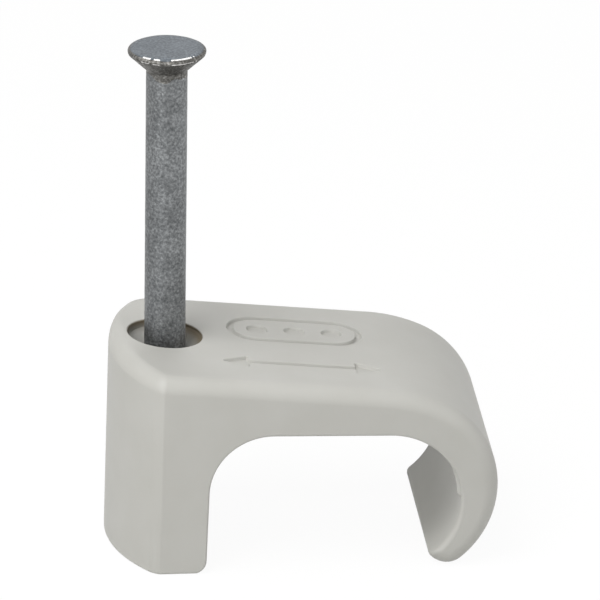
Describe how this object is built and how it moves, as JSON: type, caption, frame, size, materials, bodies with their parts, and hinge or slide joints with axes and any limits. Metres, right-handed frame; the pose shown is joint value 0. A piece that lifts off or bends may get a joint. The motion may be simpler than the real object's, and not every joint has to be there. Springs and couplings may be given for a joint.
{
  "type": "nail-in cable clip",
  "caption": "Moulded grey hook clip that holds a flat cable against a wall, with a steel nail standing proud in its leg, ready to be driven.",
  "frame": {"origin": "the nail's axis where it meets the wall, on the plane that the leg and the hook's tip rest on", "axes": "+Z away from the wall along the nail, +X from the leg to the hook, +Y along the cable"},
  "size_m": [0.0215, 0.0123, 0.0287],
  "materials": {
    "clip_plastic": "fine matt moulded grey",
    "nail_steel": "zinc plated, dull"
  },
  "bodies": {
    "clip": {"clip_body": "clip_plastic"},
    "nail": {"nail": "nail_steel"}
  },
  "joints": [
    {"name": "nail_drive", "type": "slide", "parent": "clip", "child": "nail", "axis": [0, 0, 1], "range_m": [-0.0163, 0]}
  ]
}
